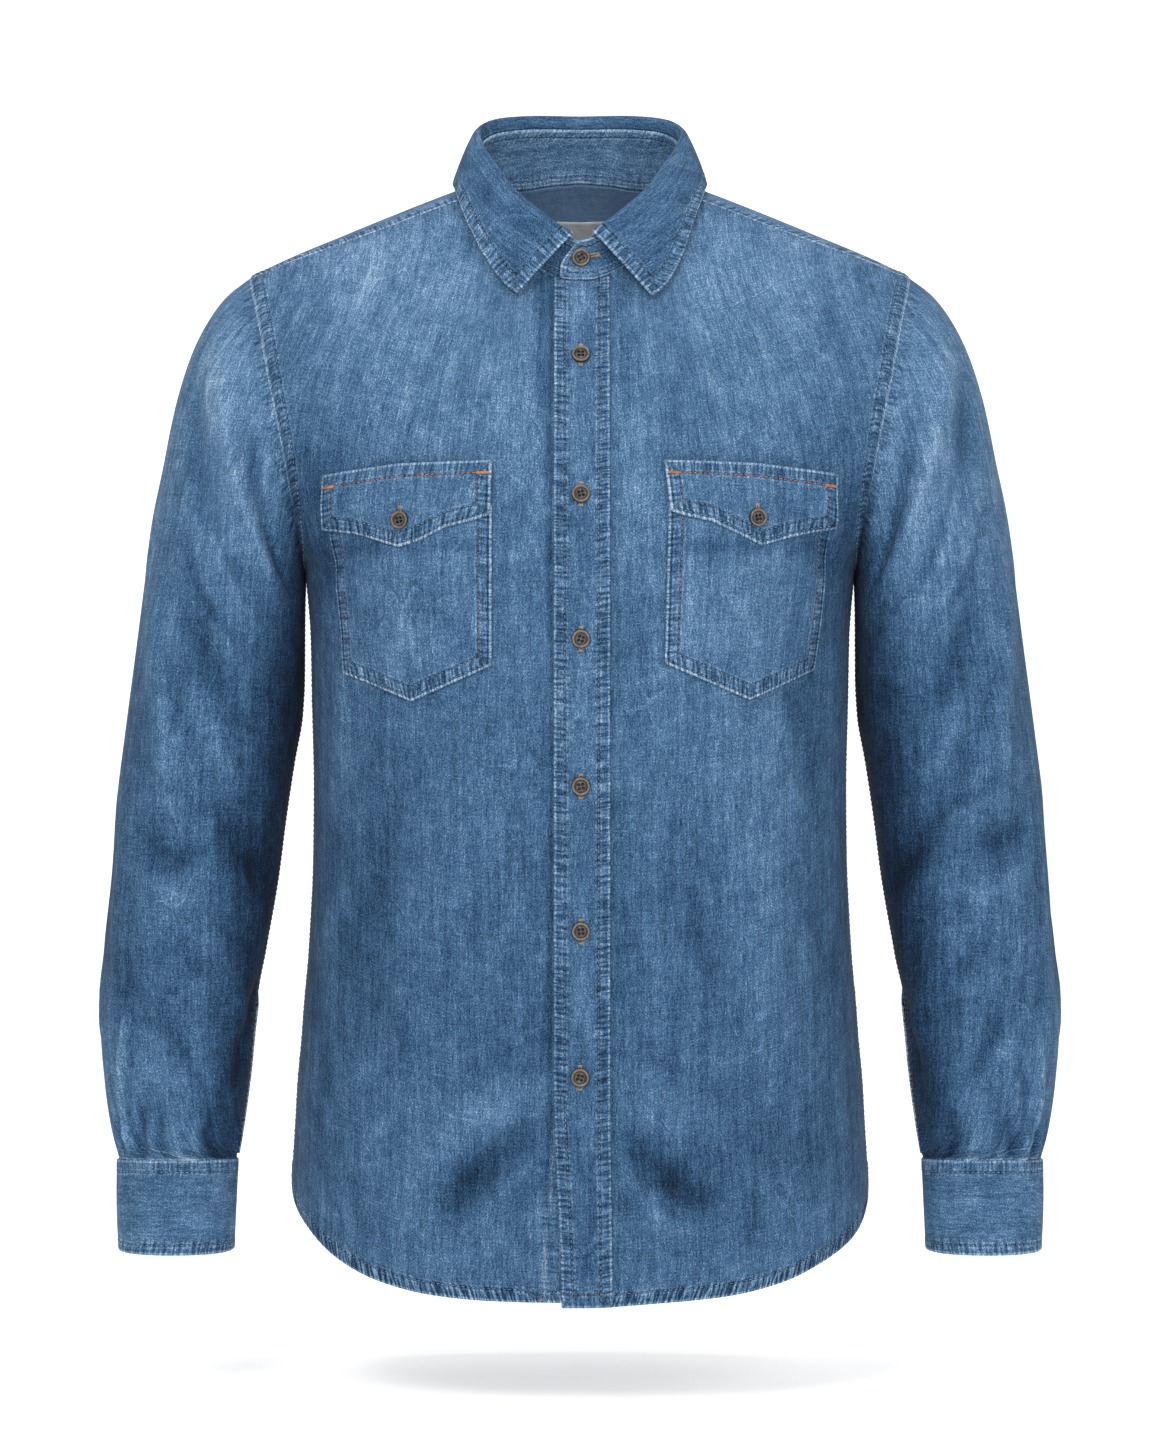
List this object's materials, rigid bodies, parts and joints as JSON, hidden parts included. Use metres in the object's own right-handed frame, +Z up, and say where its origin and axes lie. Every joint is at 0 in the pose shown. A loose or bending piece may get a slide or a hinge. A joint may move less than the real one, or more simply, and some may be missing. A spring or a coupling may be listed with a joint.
{
  "type": "denim shirt",
  "caption": "Long-sleeved denim shirt, filled out as if worn: turned-down collar, buttoned front band, pointed flap chest pockets, buttoned cuffs and a curved hem.",
  "frame": {"origin": "middle of the neck base, level with the tops of the shoulders, where a wearer holds the shirt up", "axes": "+Z up, the front faces -Y, the wearer's left is +X"},
  "size_m": [0.6426, 0.2763, 0.8057],
  "materials": {
    "denim": "washed mid-blue cotton twill with faint vertical slubs and worn light seams",
    "denim_trim": "the same washed cotton twill, doubled, its edges worn lighter",
    "label_cloth": "plain woven grey-beige label",
    "horn_button": "brown-grey horn-look button with a soft shine"
  },
  "bodies": {
    "root": {"front_left": "denim", "front_right": "denim", "back": "denim", "yoke": "denim_trim", "sleeve_left": "denim", "sleeve_right": "denim", "placket_band": "denim", "pocket_left": "denim", "pocket_flap_left": "denim", "pocket_right": "denim", "pocket_flap_right": "denim", "collar_stand": "denim_trim", "collar_leaf": "denim_trim", "neck_label": "label_cloth", "cuff_left": "denim_trim", "cuff_right": "denim_trim", "sleeve_placket_left": "denim", "sleeve_placket_right": "denim", "button_front_1": "horn_button", "button_front_2": "horn_button", "button_front_3": "horn_button", "button_front_4": "horn_button", "button_front_5": "horn_button", "button_front_6": "horn_button", "button_pocket_right": "horn_button", "button_pocket_left": "horn_button", "button_collar": "horn_button", "button_cuff_left": "horn_button", "button_cuff_right": "horn_button"}
  },
  "joints": []
}
